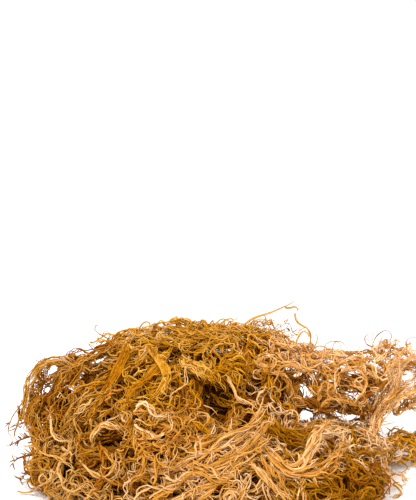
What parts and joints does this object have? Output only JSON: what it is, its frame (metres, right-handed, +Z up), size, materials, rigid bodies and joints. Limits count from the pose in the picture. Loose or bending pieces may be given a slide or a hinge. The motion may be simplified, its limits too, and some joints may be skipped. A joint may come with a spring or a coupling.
{
  "type": "heap of dried golden sea moss",
  "caption": "Loose heap of dried golden sea moss, wiry forked strands matted into tufts and twisted hanks, lying on a flat underside.",
  "frame": {"origin": "middle of the flat spot under the heap, on the surface that it lies on", "axes": "+Z up, +X along the heap's length to the right, -Y towards the front"},
  "size_m": [0.237, 0.1394, 0.0816],
  "materials": {
    "pale_strands": "dry, matt",
    "golden_strands": "dry, slightly waxy",
    "brown_strands": "dry, slightly waxy"
  },
  "bodies": {
    "root": {"under_tuft": "brown_strands", "left_tuft": "golden_strands", "left_front_tuft": "golden_strands", "back_left_tuft": "golden_strands", "back_middle_tuft": "golden_strands", "back_right_tuft": "golden_strands", "amber_tuft": "golden_strands", "curl_tuft": "pale_strands", "front_tuft": "pale_strands", "tangle_tuft": "pale_strands", "right_front_tuft": "brown_strands", "spray_tuft": "golden_strands", "upper_right_tuft": "pale_strands", "front_hank": "pale_strands", "right_hank": "pale_strands"}
  },
  "joints": []
}
